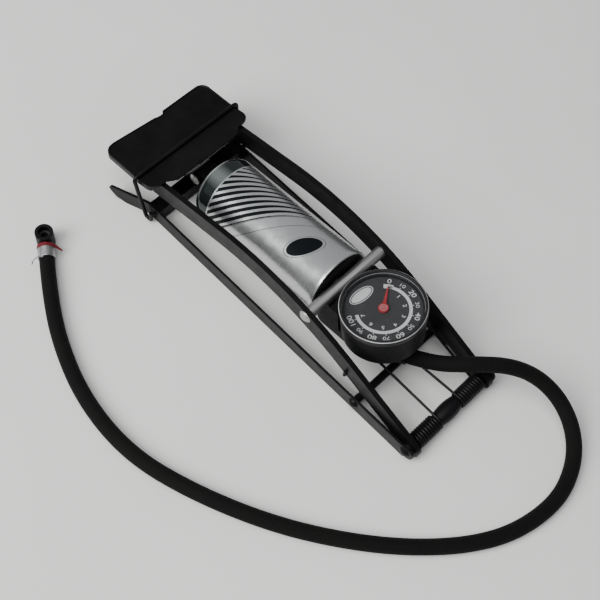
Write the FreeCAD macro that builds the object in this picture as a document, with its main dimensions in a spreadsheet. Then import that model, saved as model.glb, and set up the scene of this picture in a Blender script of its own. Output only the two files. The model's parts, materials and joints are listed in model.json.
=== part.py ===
"""Foot pump with a pressure gauge and a hose, folded and latched.

Frame: +X towards the pedal, +Y to the left of the frame, +Z up. The base rails stand on z = 0.
Lengths are in millimetres. The pump lies along X, with its rear axle at the low end.
"""
import FreeCAD, Part
import math
import os

import Sketcher

Vec = FreeCAD.Vector
Rot = FreeCAD.Rotation
Place = FreeCAD.Placement

doc = FreeCAD.newDocument("foot_pump")
sheet = doc.addObject("Spreadsheet::Sheet", "sizes")

SIZES = {
    # base frame
    "rail_outer_y": 40.5, "rail_thick": 1.8, "rail_height": 13.2, "rail_nose_x": 105.0,
    "flare_x": 134.0, "flare_y": 51.0,
    "axle_x": -138.0, "axle_z": 8.3, "axle_radius": 2.9, "axle_end": 6.6,
    "crossbar_x": -92.7, "crossbar_z": 8.0, "crossbar_radius": 2.75,
    "strap_x": 100.0, "strap_width": 10.4, "strap_height": 12.4, "sheet_thick": 1.8,
    "washer_radius": 5.4, "rivet_head": 4.4, "rivet_rise": 2.0,
    # treadle arms
    "arm_outer_y": 36.4, "arm_width": 3.6, "arm_height": 15.4, "arm_wall": 1.1,
    "arm_rise_deg": 23.5, "arm_fall_deg": 12.0, "arm_bend_radius": 190.0, "arm_nose": 20.0,
    "tube_x": -40.1, "tube_z": 49.8, "tube_radius": 4.1, "tube_rivet_radius": 2.4,
    # pedal
    "fold_x": 110.3, "fold_z": 42.3, "pedal_half_width": 44.0, "tread_length": 34.6,
    "tread_drop_deg": 7.0, "heel_length": 22.4, "heel_drop_deg": 16.0, "pedal_skin": 1.6, "pedal_rim": 5.0,
    "pedal_corner": 7.0, "heel_corner": 8.0, "lobe_length": 16.9,
    # latch bail
    "bail_wire": 1.4, "bail_half_width": 46.4, "bail_foot_y": 43.9, "bail_foot_x": 103.9,
    # barrel and piston
    "pivot_x": 93.0, "pivot_z": 24.0, "pin_radius": 2.6, "axis_below_tube": 10.1,
    "barrel_radius": 25.0, "barrel_wall": 1.2, "barrel_rear": 6.2, "barrel_length": 114.6, "barrel_round": 9.0,
    "cap_length": 7.0, "cap_hole": 10.6, "rod_radius": 4.5, "rod_bore": 2.0, "rod_length": 96.0,
    "piston_length": 8.0, "piston_gap": 5.0,
    # head and gauge
    "head_half_width": 20.5, "head_front": 4.6, "head_back": -20.0, "head_low": -17.0,
    "gauge_back": -32.3, "gauge_face": 19.3, "gauge_radius": 28.2, "gauge_depth": 27.0, "gauge_tilt_deg": 4.0,
    "zero_mark_deg": -57.0,
    "seat_radius": 13.0, "outlet_radius": 6.2, "outlet_length": 20.0, "collar_length": 7.0,
    # springs and hose
    "coil_radius": 5.25, "coil_wire": 0.95, "coil_pitch": 2.15, "coil_turns": 9.5, "coil_inner_y": 10.4,
    "sleeve_radius": 5.6, "hose_radius": 5.2,
}
for row, (alias, value) in enumerate(SIZES.items(), start=1):
    sheet.set(f"A{row}", alias)
    sheet.set(f"B{row}", str(value))
    sheet.setAlias(f"B{row}", alias)
doc.recompute()


def size(alias):
    """Value of one cell of the sheet, in millimetres or degrees."""
    return float(getattr(sheet, alias))


PARTS = []          # sub-parts that are written out, in order


def keep(obj, label):
    """Name a finished sub-part and put it on the list of files."""
    obj.Label = label
    PARTS.append(obj)
    return obj


# ---------------------------------------------------------------- helpers: features

def origin_plane(body, role):
    for feature in body.Origin.OriginFeatures:
        if feature.Role == role:
            return feature
    raise ValueError(role)


def new_body(name):
    return doc.addObject("PartDesign::Body", name)


def new_sketch(body, name, role, edges, offset=0.0):
    """Sketch on one of the body's own origin planes, moved along its normal by offset."""
    sketch = body.newObject("Sketcher::SketchObject", name)
    sketch.AttachmentSupport = [(origin_plane(body, role), "")]
    sketch.MapMode = "FlatFace"
    sketch.AttachmentOffset = Place(Vec(0, 0, offset), Rot())
    for edge in edges:
        sketch.addGeometry(edge, False)
    return sketch


def circle(x, y, radius):
    return Part.Circle(Vec(x, y, 0), Vec(0, 0, 1), radius)


def bind_radius(sketch, index, expression):
    """Radius constraint on one circle of a sketch, driven by the sheet."""
    constraint = sketch.addConstraint(Sketcher.Constraint("Radius", index, 1.0))
    sketch.setExpression(f"Constraints[{constraint}]", expression)


def polygon(points):
    """Closed outline of straight lines through 2-D points."""
    ends = [Vec(x, y, 0) for x, y in points]
    return [Part.LineSegment(a, b) for a, b in zip(ends, ends[1:] + ends[:1])]


def rectangle(x0, y0, x1, y1):
    return polygon([(x0, y0), (x1, y0), (x1, y1), (x0, y1)])


def rounded_outline(points, radii):
    """Closed outline whose corners are arcs of the given radii; a radius of 0 keeps a corner sharp."""
    count = len(points)
    starts, ends, middles = [], [], []
    for i in range(count):
        before, here, after = (Vec(*points[j % count], 0) for j in (i - 1, i, i + 1))
        radius = radii[i]
        if radius <= 0:
            starts.append(here)
            ends.append(here)
            middles.append(None)
            continue
        arm_a = (before - here).normalize()
        arm_b = (after - here).normalize()
        half = math.acos(max(-1.0, min(1.0, arm_a.dot(arm_b)))) / 2
        reach = radius / math.tan(half)
        bisector = (arm_a + arm_b).normalize()
        middle = here + bisector * (radius / math.sin(half) - radius)
        starts.append(here + arm_a * reach)
        ends.append(here + arm_b * reach)
        middles.append(middle)
    edges = []
    for i in range(count):
        if middles[i] is not None:
            edges.append(Part.Arc(starts[i], middles[i], ends[i]))
        target = starts[(i + 1) % count]
        if (target - ends[i]).Length > 1e-6:
            edges.append(Part.LineSegment(ends[i], target))
    return edges


def pad(body, sketch, name, length, midplane=False, reverse=False):
    """Pad whose length is a number or a sheet expression."""
    feature = body.newObject("PartDesign::Pad", name)
    feature.Profile = sketch
    if isinstance(length, str):
        feature.setExpression("Length", length)
    else:
        feature.Length = length
    feature.Midplane = midplane
    feature.Reversed = reverse
    return feature


def pocket(body, sketch, name, length, midplane=False, reverse=False):
    feature = body.newObject("PartDesign::Pocket", name)
    feature.Profile = sketch
    if isinstance(length, str):
        feature.setExpression("Length", length)
    else:
        feature.Length = length
    feature.Midplane = midplane
    feature.Reversed = reverse
    return feature


def revolve(body, sketch, name, axis="H_Axis"):
    feature = body.newObject("PartDesign::Revolution", name)
    feature.Profile = sketch
    feature.ReferenceAxis = (sketch, [axis])
    feature.Angle = 360
    return feature


def turned(name, points, place=None):
    """Body of revolution about its own X axis, from a 2-D outline of (x, radius) points."""
    body = new_body(name + "_body")
    sketch = new_sketch(body, name + "_half", "XZ_Plane", polygon(points))
    revolve(body, sketch, name + "_turn")
    if place is not None:
        body.Placement = place
    return body


def rod_along_y(name, radius, x, z, y0, y1):
    """Part::Cylinder along Y; radius is a sheet expression or a number."""
    rod = doc.addObject("Part::Cylinder", name)
    if isinstance(radius, str):
        rod.setExpression("Radius", radius)
    else:
        rod.Radius = radius
    rod.Height = y1 - y0
    rod.Placement = Place(Vec(x, y0, z), Rot(Vec(1, 0, 0), -90))
    return rod


def joined(name, shapes):
    fuse = doc.addObject("Part::MultiFuse", name)
    fuse.Shapes = shapes
    return fuse


def cut(name, base, tool):
    feature = doc.addObject("Part::Cut", name)
    feature.Base = base
    feature.Tool = tool
    return feature


def common(name, base, tool):
    feature = doc.addObject("Part::Common", name)
    feature.Base = base
    feature.Tool = tool
    return feature


def plain(name, shape):
    feature = doc.addObject("Part::Feature", name)
    feature.Shape = shape
    return feature


# ---------------------------------------------------------------- helpers: bent wires and tubes

def bent_path(points, radii):
    """Straight runs joined by tangent arcs, one radius for each inner point."""
    edges = []
    last = points[0]
    for here, after, radius in zip(points[1:-1], points[2:], radii):
        incoming = (here - last).normalize()
        outgoing = (after - here).normalize()
        turn = incoming.getAngle(outgoing)
        reach = radius * math.tan(turn / 2)
        start = here - incoming * reach
        end = here + outgoing * reach
        inward = (outgoing - incoming).normalize()
        middle = here + inward * (radius / math.cos(turn / 2) - radius)
        edges.append(Part.LineSegment(last, start).toShape())
        edges.append(Part.Arc(start, middle, end).toShape())
        last = end
    edges.append(Part.LineSegment(last, points[-1]).toShape())
    return Part.Wire(edges)


def tube_on(path, radius):
    """Round solid swept along a path of runs and arcs."""
    start = path.Edges[0]
    heading = start.tangentAt(start.FirstParameter)
    ring = Part.Wire([Part.Circle(start.valueAt(start.FirstParameter), heading, radius).toShape()])
    return path.makePipeShell([ring], True, False)


def route_radii(points):
    """Arc radius at each inner point: 0.45 of the shorter run over the tangent of half the turn."""
    radii = []
    for before, here, after in zip(points, points[1:], points[2:]):
        shorter = min((here - before).Length, (after - here).Length)
        turn = (here - before).getAngle(after - here)
        radii.append(0.45 * shorter / math.tan(turn / 2))
    return radii


# ---------------------------------------------------------------- shared frames

def slant():
    """Downward slope of the barrel's axis towards the pedal, in degrees."""
    run = size("pivot_x") - size("tube_x")
    drop = size("tube_z") - size("pivot_z")
    chord = math.hypot(run, drop)
    return math.degrees(math.atan2(drop, run) - math.asin(size("axis_below_tube") / chord))


SLANT = slant()


def head_frame():
    """Frame on the barrel's axis under the cross tube: X forward along the axis, Z up."""
    tilt = math.radians(SLANT)
    below = size("axis_below_tube")
    origin = Vec(size("tube_x") - below * math.sin(tilt), 0, size("tube_z") - below * math.cos(tilt))
    return Place(origin, Rot(Vec(0, 1, 0), SLANT))


HEAD = head_frame()
PIVOT_AT = (Vec(size("pivot_x"), 0, size("pivot_z")) - HEAD.Base).Length


def gauge_frame():
    """Frame at the middle of the gauge's face: Z out of the dial, X forward."""
    face = HEAD.multVec(Vec(size("gauge_back"), 0, size("gauge_face")))
    return Place(face, Rot(Vec(0, 1, 0), SLANT + size("gauge_tilt_deg")))


GAUGE = gauge_frame()
Z_TURNED = Rot(Vec(0, 1, 0), -90)          # turns a body of revolution's X axis up along Z


def gauge_turned(name, points):
    """Body of revolution about the gauge's own axis, from (height above the face, radius) points."""
    return turned(name, points, GAUGE.multiply(Place(Vec(), Z_TURNED)))


# ---------------------------------------------------------------- base frame

def base_rail(label, side):
    """Steel strip on edge: rounded at the axle, bent outwards and tapered at the front."""
    body = new_body(label + "_body")
    outer = size("rail_outer_y")
    thick = size("rail_thick")
    back = size("axle_x") - size("axle_end")
    nose, tip_x, tip_y = size("rail_nose_x"), size("flare_x"), size("flare_y")
    outline = [(back, outer), (nose, outer), (tip_x, tip_y)]
    inner = [(tip_x + 0.6, tip_y - thick), (nose + 0.6, outer - thick), (back, outer - thick)]
    points = [(x, side * y) for x, y in outline + inner]
    plan = new_sketch(body, label + "_plan", "XY_Plane", polygon(points))
    pad(body, plan, label + "_strip", "sizes.rail_height")
    high = size("rail_height")
    ground = 2 * high
    wide = 2 * tip_y + 10
    toe = polygon([(nose + 10, -ground), (nose + 17, 0), (nose + 24, 3.0), (tip_x - 1.6, 7.4), (tip_x - 0.2, 10.6),
                   (tip_x - 0.2, high - 1.0), (tip_x - 1.2, high), (tip_x + 8, high), (tip_x + 8, -ground)])
    under = new_sketch(body, label + "_toe", "XZ_Plane", toe)
    pocket(body, under, label + "_toe_cut", wide, midplane=True)
    end = size("axle_end")
    axle_x, axle_z = size("axle_x"), size("axle_z")
    corner = [Part.LineSegment(Vec(axle_x, axle_z + end, 0), Vec(axle_x, ground, 0)),
              Part.LineSegment(Vec(axle_x, ground, 0), Vec(back - 4, ground, 0)),
              Part.LineSegment(Vec(back - 4, ground, 0), Vec(back - 4, -4, 0)),
              Part.LineSegment(Vec(back - 4, -4, 0), Vec(axle_x, -4, 0)),
              Part.LineSegment(Vec(axle_x, -4, 0), Vec(axle_x, axle_z - end, 0)),
              Part.Arc(Vec(axle_x, axle_z - end, 0), Vec(axle_x - end, axle_z, 0),
                       Vec(axle_x, axle_z + end, 0))]
    heel = new_sketch(body, label + "_heel", "XZ_Plane", corner)
    pocket(body, heel, label + "_heel_cut", wide, midplane=True)
    holes = [(axle_x, axle_z, "sizes.axle_radius"),
             (size("crossbar_x"), size("crossbar_z"), "sizes.crossbar_radius")]
    drill = new_sketch(body, label + "_holes", "XZ_Plane", [circle(x, z, 2.0) for x, z, _ in holes])
    for index, (_, _, expression) in enumerate(holes):
        bind_radius(drill, index, expression)
    pocket(body, drill, label + "_drill", wide, midplane=True)
    return keep(body, label)


def front_strap():
    """Folded channel, open below, that ties the two base rails together in front of the barrel."""
    body = new_body("front_strap_body")
    half = size("strap_width") / 2
    x, high, thick = size("strap_x"), size("strap_height"), size("sheet_thick")
    profile = polygon([(x - half, 1.0), (x - half, high), (x + half, high), (x + half, 1.0),
                       (x + half - thick, 1.0), (x + half - thick, high - thick),
                       (x - half + thick, high - thick), (x - half + thick, 1.0)])
    sketch = new_sketch(body, "strap_profile", "XZ_Plane", profile)
    pad(body, sketch, "strap_pad", "2*(sizes.rail_outer_y - sizes.rail_thick)", midplane=True)
    return keep(body, "front_strap")


def barrel_bracket():
    """U bracket on the strap, with the two ears that hold the barrel's pivot pin."""
    inner, thick = 6.6, size("sheet_thick")
    high, x = size("strap_height"), size("strap_x")
    pivot_x, pivot_z = size("pivot_x"), size("pivot_z")
    body = new_body("barrel_bracket_body")
    side = [Part.LineSegment(Vec(x + 4.4, high, 0), Vec(x + 4.4, high + 3, 0)),
            Part.LineSegment(Vec(x + 4.4, high + 3, 0), Vec(pivot_x + 4.2, pivot_z + 3.9, 0)),
            Part.Arc(Vec(pivot_x + 4.2, pivot_z + 3.9, 0), Vec(pivot_x - 2.2, pivot_z + 5.3, 0),
                     Vec(pivot_x - 4.2, pivot_z - 3.9, 0)),
            Part.LineSegment(Vec(pivot_x - 4.2, pivot_z - 3.9, 0), Vec(x - 4.6, high, 0)),
            Part.LineSegment(Vec(x - 4.6, high, 0), Vec(x + 4.4, high, 0))]
    ears = new_sketch(body, "ear_profile", "XZ_Plane", side)
    pad(body, ears, "ear_pad", 2 * (inner + thick), midplane=True)
    gap = new_sketch(body, "ear_gap", "YZ_Plane", rectangle(-inner, high + thick, inner, high + 40))
    pocket(body, gap, "gap_cut", 400.0, midplane=True)
    bore = new_sketch(body, "ear_bore", "XZ_Plane", [circle(pivot_x, pivot_z, 2.0)])
    bind_radius(bore, 0, "sizes.pin_radius")
    pocket(body, bore, "bore_cut", 100.0, midplane=True)
    return keep(body, "barrel_bracket")


def headed_pin(label, radius, x, z, half, head, rise):
    """Round pin along Y with a domed head outside each end of its grip."""
    grip = rod_along_y(label + "_shank", radius, x, z, -half, half)
    pieces = [grip]
    for side in (1, -1):
        dome = doc.addObject("Part::Sphere", f"{label}_dome_{'l' if side > 0 else 'r'}")
        ball = (head * head + rise * rise) / (2 * rise)
        dome.Radius = ball
        dome.Placement = Place(Vec(x, side * (half - ball + rise), z), Rot())
        slab = doc.addObject("Part::Box", f"{label}_slab_{'l' if side > 0 else 'r'}")
        slab.Length, slab.Width, slab.Height = 4 * ball, rise, 4 * ball
        slab.Placement = Place(Vec(x - 2 * ball, half if side > 0 else -half - rise, z - 2 * ball), Rot())
        pieces.append(common(f"{label}_head_{'l' if side > 0 else 'r'}", dome, slab))
    return keep(joined(label + "_fuse", pieces), label)


def washer_set(label, x, z, bore, radius, y0, y1):
    """Left and right spacer washers on one axis."""
    rings = []
    for side in (1, -1):
        low, high = sorted((side * y0, side * y1))
        tag = "l" if side > 0 else "r"
        disc = rod_along_y(f"{label}_disc_{tag}", radius, x, z, low, high)
        hole = rod_along_y(f"{label}_hole_{tag}", bore, x, z, low - 1, high + 1)
        rings.append(cut(f"{label}_ring_{tag}", disc, hole))
    group = doc.addObject("Part::Compound", label + "_group")
    group.Links = rings
    return keep(group, label)


def axle_sleeve():
    """Plastic spacer between the two spring coils, slightly barrelled."""
    half = size("coil_inner_y") - 1.0
    bore = size("axle_radius") + 0.05
    outer = size("sleeve_radius")
    body = new_body("axle_sleeve_body")
    edges = [Part.LineSegment(Vec(-half, bore, 0), Vec(half, bore, 0)),
             Part.LineSegment(Vec(half, bore, 0), Vec(half, outer - 0.7, 0)),
             Part.Arc(Vec(half, outer - 0.7, 0), Vec(0, outer + 0.5, 0), Vec(-half, outer - 0.7, 0)),
             Part.LineSegment(Vec(-half, outer - 0.7, 0), Vec(-half, bore, 0))]
    sketch = new_sketch(body, "sleeve_half", "XZ_Plane", edges)
    revolve(body, sketch, "sleeve_turn")
    body.Placement = Place(Vec(size("axle_x"), 0, size("axle_z")), Rot(Vec(0, 0, 1), 90))
    return keep(body, "axle_sleeve")


def torsion_spring(label, side):
    """Coil round the axle: one leg rests on the crossbar, the other hooks under the treadle arm."""
    ring, wire = size("coil_radius"), size("coil_wire")
    pitch, turns = size("coil_pitch"), size("coil_turns")
    axle = Vec(size("axle_x"), 0, size("axle_z"))
    inner_y = size("coil_inner_y")
    helix = Part.makeHelix(pitch, pitch * turns, ring)
    start = helix.Edges[0]
    heading = start.tangentAt(start.FirstParameter)
    section = Part.Wire([Part.Circle(start.valueAt(start.FirstParameter), heading, wire).toShape()])
    coil = helix.makePipeShell([section], True, True)
    # the helix's own axis lies along +Y and its first turn starts on top of the axle
    upright = Place(axle + Vec(0, inner_y, 0), Rot(Vec(1, 0, 0), -90).multiply(Rot(Vec(0, 0, 1), -90)))
    coil.Placement = upright
    first = upright.multVec(Vec(ring, 0, 0))
    last_turn = 2 * math.pi * turns
    last = upright.multVec(Vec(ring * math.cos(last_turn), ring * math.sin(last_turn), pitch * turns))
    rest_z = size("crossbar_z") + size("crossbar_radius") + wire + 0.05
    top = Vec(size("axle_x"), inner_y, size("axle_z") + ring)
    contact = Vec(size("crossbar_x"), inner_y - 1.5, rest_z)
    rest = top + (contact - top) * 1.19
    low = arm_centre(-79.0) - size("arm_height") / 2 / math.cos(math.radians(size("arm_rise_deg"))) - wire - 0.4
    hook_y = size("arm_outer_y") + wire + 0.25
    hook = [Vec(-79.0, last.y, low), Vec(-79.0, hook_y, low), Vec(-79.0, hook_y, low + 7.5)]
    pieces = [coil]
    pieces.append(tube_on(Part.Wire([Part.LineSegment(first, rest).toShape()]), wire))
    pieces.append(tube_on(bent_path([last] + hook, [2.2, 2.2]), wire))
    for point in (first, last):
        pieces.append(Part.makeSphere(wire, point))
    shape = pieces[0].multiFuse(pieces[1:])
    if side < 0:
        shape = shape.mirror(Vec(0, 0, 0), Vec(0, 1, 0))
    return keep(plain(label + "_shape", shape), label)


# ---------------------------------------------------------------- treadle arms and pedal

def arm_corner():
    """Where the rising and the falling centre lines of an arm would meet."""
    rise = math.tan(math.radians(size("arm_rise_deg")))
    fall = math.tan(math.radians(size("arm_fall_deg")))
    front_z = size("fold_z") - size("pedal_skin") - size("arm_height") / 2 / math.cos(math.radians(size("arm_fall_deg")))
    x = (front_z + fall * size("fold_x") - size("axle_z") + rise * size("axle_x")) / (rise + fall)
    return x, size("axle_z") + rise * (x - size("axle_x")), front_z


def arm_centre(x):
    """Height of the straight rear part of the arm's centre line at x."""
    return size("axle_z") + math.tan(math.radians(size("arm_rise_deg"))) * (x - size("axle_x"))


def arm_profile(above, below, tail, nose):
    """Side outline of an arm: a rear straight, a bend and a front straight, offset from the centre line."""
    rise, fall = math.radians(size("arm_rise_deg")), math.radians(size("arm_fall_deg"))
    bend = size("arm_bend_radius")
    corner_x, corner_z, _ = arm_corner()
    corner = Vec(corner_x, corner_z, 0)
    back = Vec(-math.cos(rise), -math.sin(rise), 0)
    ahead = Vec(math.cos(fall), -math.sin(fall), 0)
    reach = bend * math.tan((rise + fall) / 2)
    centre = corner + back * reach + Vec(math.sin(rise), -math.cos(rise), 0) * bend
    up_back = Vec(-math.sin(rise), math.cos(rise), 0)
    up_front = Vec(math.sin(fall), math.cos(fall), 0)
    apex = (up_back + up_front).normalize()
    axle = Vec(size("axle_x"), size("axle_z"), 0)
    start = axle + back * tail

    def lines(offset):
        return (start + up_back * offset, centre + up_back * (bend + offset), centre + apex * (bend + offset),
                centre + up_front * (bend + offset))

    top, low = lines(above), lines(-below)
    drop = math.radians(size("tread_drop_deg"))
    fold = Vec(size("fold_x"), size("fold_z") - size("pedal_skin"), 0) - up_front * (size("arm_height") / 2 - above)
    tip_top = fold + Vec(math.cos(drop), -math.sin(drop), 0) * nose
    tip_low = tip_top + Vec(-2.5, -(above + below) * 0.55, 0)
    low_front = low[3] + ahead * ((fold - top[3]).Length - 4)
    edges = [Part.LineSegment(top[0], top[1]), Part.Arc(top[1], top[2], top[3]),
             Part.LineSegment(top[3], fold), Part.LineSegment(fold, tip_top),
             Part.LineSegment(tip_top, tip_low), Part.LineSegment(tip_low, low_front),
             Part.LineSegment(low_front, low[3]), Part.Arc(low[3], low[2], low[1]),
             Part.LineSegment(low[1], low[0])]
    if tail > 0:
        edges.append(Part.Arc(low[0], axle + back * (tail + above), top[0]))
    else:
        edges.append(Part.LineSegment(low[0], top[0]))
    return edges


def arm_rail(label, side):
    """Inverted channel of thin steel, bowed upwards from the axle to the pedal."""
    half = size("arm_height") / 2
    wall = size("arm_wall")
    body = new_body(label + "_body")
    middle = size("arm_outer_y") - size("arm_width") / 2
    outline = arm_profile(half, half, 0.001, size("arm_nose"))
    # a sketch on the XZ plane looks along -Y, so its offset is the negative of y
    outside = new_sketch(body, label + "_side", "XZ_Plane", outline, -side * middle)
    pad(body, outside, label + "_pad", "sizes.arm_width", midplane=True)
    hollow = rectangle_along_arm(wall)
    inside = new_sketch(body, label + "_hollow", "XZ_Plane", hollow, -side * middle)
    pocket(body, inside, label + "_channel", "sizes.arm_width - 2*sizes.arm_wall", midplane=True)
    holes = new_sketch(body, label + "_holes", "XZ_Plane",
                       [circle(size("axle_x"), size("axle_z"), 2.0), circle(size("tube_x"), size("tube_z"), 2.0)])
    bind_radius(holes, 0, "sizes.axle_radius + 0.05")
    bind_radius(holes, 1, "sizes.tube_rivet_radius")
    pocket(body, holes, label + "_drill", 200.0, midplane=True)
    return keep(body, label)


def rectangle_along_arm(wall):
    """Outline of the channel's hollow: the arm's own outline, short of its top by the wall."""
    half = size("arm_height") / 2
    return arm_profile(half - wall, half + 3.0, -14.0, size("arm_nose") - 2 * wall)


def pedal():
    """Pressed steel treadle: a tread and a heel plate that meet in a shallow valley, with a turned-down rim."""
    fold = Vec(size("fold_x"), size("fold_z"), 0)
    drop, rise = math.radians(size("tread_drop_deg")), math.radians(size("heel_drop_deg"))
    tread, heel = size("tread_length"), size("heel_length")
    front = fold + Vec(math.cos(drop), -math.sin(drop), 0) * tread
    rear = fold + Vec(-math.cos(rise), math.sin(rise), 0) * heel

    def slab(name, depth_top, depth_low, beyond):
        a = front + (front - fold).normalize() * beyond
        c = rear + (rear - fold).normalize() * beyond
        points = [(a.x, a.y - depth_top), (fold.x, fold.y - depth_top), (c.x, c.y - depth_top),
                  (c.x, c.y - depth_low), (fold.x, fold.y - depth_low), (a.x, a.y - depth_low)]
        body = new_body(name + "_body")
        sketch = new_sketch(body, name + "_side", "XZ_Plane", polygon(points))
        pad(body, sketch, name + "_pad", 120.0, midplane=True)
        return body

    def plan(name, inset, rear_open):
        """Outline from above: a notched front edge, two rounded lobes and a deeper middle at the heel."""
        half = size("pedal_half_width") - inset
        corner = max(size("pedal_corner") - inset, 1.0)
        lobe = max(size("heel_corner") - inset, 1.0)
        side_x = fold.x - size("lobe_length")
        x1 = front.x - inset
        edge = [(x1 - 2.2, -half), (x1 - 2.2, -6.7), (x1 - 4.4, -5.2), (x1 - 4.2, -1.0), (x1 - 3.2, 1.6),
                (x1 + 0.8, half)]
        if rear_open:
            points = edge + [(side_x - 30.0, half), (side_x - 30.0, -half)]
            rounds = [corner, 0.0, 0.0, 0.0, 0.0, corner, 0.0, 0.0]
        else:
            points = edge + [(side_x, half), (side_x, 32.5), (rear.x, 26.0), (rear.x, -26.0), (side_x, -32.5),
                             (side_x, -half)]
            rounds = [corner, 0.0, 0.0, 0.0, 0.0, corner, lobe, 1.0, 1.5, 1.5, 1.0, lobe]
        body = new_body(name + "_body")
        sketch = new_sketch(body, name + "_plan", "XY_Plane", rounded_outline(points, rounds))
        pad(body, sketch, name + "_pad", 100.0)
        return body

    skin, rim = size("pedal_skin"), size("pedal_rim")
    block = common("pedal_block", slab("pedal_full", 0.0, rim, 3.0), plan("pedal_outer", 0.0, False))
    hollow = common("pedal_hollow", slab("pedal_under", skin, rim + 6, 8.0), plan("pedal_inner", skin, True))
    return keep(cut("pedal_sheet", block, hollow), "pedal")


def cross_tube():
    """Bright steel spacer tube between the arms; the pump head swings on it."""
    half = size("arm_outer_y") - size("arm_width")
    outside = rod_along_y("cross_tube_out", "sizes.tube_radius", size("tube_x"), size("tube_z"), -half, half)
    inside = rod_along_y("cross_tube_in", "sizes.tube_rivet_radius", size("tube_x"), size("tube_z"),
                         -half - 1, half + 1)
    return keep(cut("cross_tube_cut", outside, inside), "cross_tube")


def bail():
    """Bent wire latch: a bar in the pedal's valley, two legs and a foot beside each base rail."""
    wire = size("bail_wire")
    bar_z = size("fold_z") + wire + 0.15
    bar_x = size("fold_x")
    foot_x, foot_y, half = size("bail_foot_x"), size("bail_foot_y"), size("bail_half_width")
    left = [Vec(foot_x - 5.6, foot_y, 12.0), Vec(foot_x - 5.4, foot_y, 2.6), Vec(foot_x + 0.3, foot_y, 2.6),
            Vec(bar_x, half, bar_z)]
    right = [Vec(p.x, -p.y, p.z) for p in reversed(left)]
    path = bent_path(left + right, [1.9, 1.9, 2.6, 2.6, 1.9, 1.9])
    return keep(plain("bail_shape", tube_on(path, wire)), "bail")


# ---------------------------------------------------------------- barrel and piston

def barrel():
    """Drawn steel cup, closed and rounded at the front, rolled over its end cap at the rear."""
    outer, wall = size("barrel_radius"), size("barrel_wall")
    rear, long, round_r = size("barrel_rear"), size("barrel_length"), size("barrel_round")
    front = rear + long
    inner = outer - wall
    slope = math.sqrt(0.5)
    body = new_body("barrel_body")
    edges = [Part.LineSegment(Vec(rear, inner, 0), Vec(rear, outer + 0.5, 0)),
             Part.LineSegment(Vec(rear, outer + 0.5, 0), Vec(rear + 2.4, outer + 0.5, 0)),
             Part.LineSegment(Vec(rear + 2.4, outer + 0.5, 0), Vec(rear + 4.2, outer, 0)),
             Part.LineSegment(Vec(rear + 4.2, outer, 0), Vec(front - round_r, outer, 0)),
             Part.Arc(Vec(front - round_r, outer, 0),
                      Vec(front - round_r * (1 - slope), outer - round_r * (1 - slope), 0),
                      Vec(front, outer - round_r, 0)),
             Part.LineSegment(Vec(front, outer - round_r, 0), Vec(front, 0, 0)),
             Part.LineSegment(Vec(front, 0, 0), Vec(front - wall, 0, 0)),
             Part.LineSegment(Vec(front - wall, 0, 0), Vec(front - wall, outer - round_r, 0)),
             Part.Arc(Vec(front - wall, outer - round_r, 0),
                      Vec(front - round_r + (round_r - wall) * slope, outer - round_r + (round_r - wall) * slope, 0),
                      Vec(front - round_r, inner, 0)),
             Part.LineSegment(Vec(front - round_r, inner, 0), Vec(rear, inner, 0))]
    sketch = new_sketch(body, "barrel_half", "XZ_Plane", edges)
    revolve(body, sketch, "barrel_turn")
    body.Placement = HEAD
    return keep(body, "barrel")


def barrel_foot():
    """Lug on the barrel's closed end, bored for the pivot pin."""
    front = size("barrel_rear") + size("barrel_length")
    body = new_body("barrel_foot_body")
    side = [Part.LineSegment(Vec(front, 9.0, 0), Vec(PIVOT_AT + 1.0, 5.6, 0)),
            Part.Arc(Vec(PIVOT_AT + 1.0, 5.6, 0), Vec(PIVOT_AT + 5.7, 0, 0), Vec(PIVOT_AT + 1.0, -5.6, 0)),
            Part.LineSegment(Vec(PIVOT_AT + 1.0, -5.6, 0), Vec(front, -9.0, 0)),
            Part.LineSegment(Vec(front, -9.0, 0), Vec(front, 9.0, 0))]
    sketch = new_sketch(body, "foot_side", "XZ_Plane", side)
    pad(body, sketch, "foot_pad", 12.4, midplane=True)
    bore = new_sketch(body, "foot_bore", "XZ_Plane", [circle(PIVOT_AT, 0, 2.0)])
    bind_radius(bore, 0, "sizes.pin_radius + 0.05")
    pocket(body, bore, "foot_drill", 60.0, midplane=True)
    body.Placement = HEAD
    return keep(body, "barrel_foot")


def turned_part(label, points):
    """Sub-part turned about the barrel's axis."""
    return keep(turned(label, points, HEAD), label)


def barrel_internals():
    """End cap, piston, cup seal and nut, all on the barrel's axis."""
    rear, inner = size("barrel_rear"), size("barrel_radius") - size("barrel_wall")
    cap, hole = size("cap_length"), size("cap_hole")
    turned_part("barrel_cap", [(rear - 0.6, hole), (rear - 0.6, inner - 1.2), (rear, inner), (rear + cap, inner),
                               (rear + cap, inner - 3), (rear + 3, inner - 5), (rear + 3, hole)])
    face = size("rod_length") + size("piston_gap")
    thick = size("piston_length")
    turned_part("piston", [(face, 0), (face, inner - 0.9), (face + thick - 2.5, inner - 0.9),
                           (face + thick - 2.5, 9.0), (face + thick, 9.0), (face + thick, 0)])
    seal = face + thick - 2.5
    turned_part("piston_seal", [(seal, 9.0), (seal, inner - 0.06), (seal + 4.2, inner - 0.06),
                                (seal + 4.2, inner - 1.3), (seal + 1.6, inner - 2.2), (seal + 1.6, 9.0)])


# ---------------------------------------------------------------- pump head, rod and gauge

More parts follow.
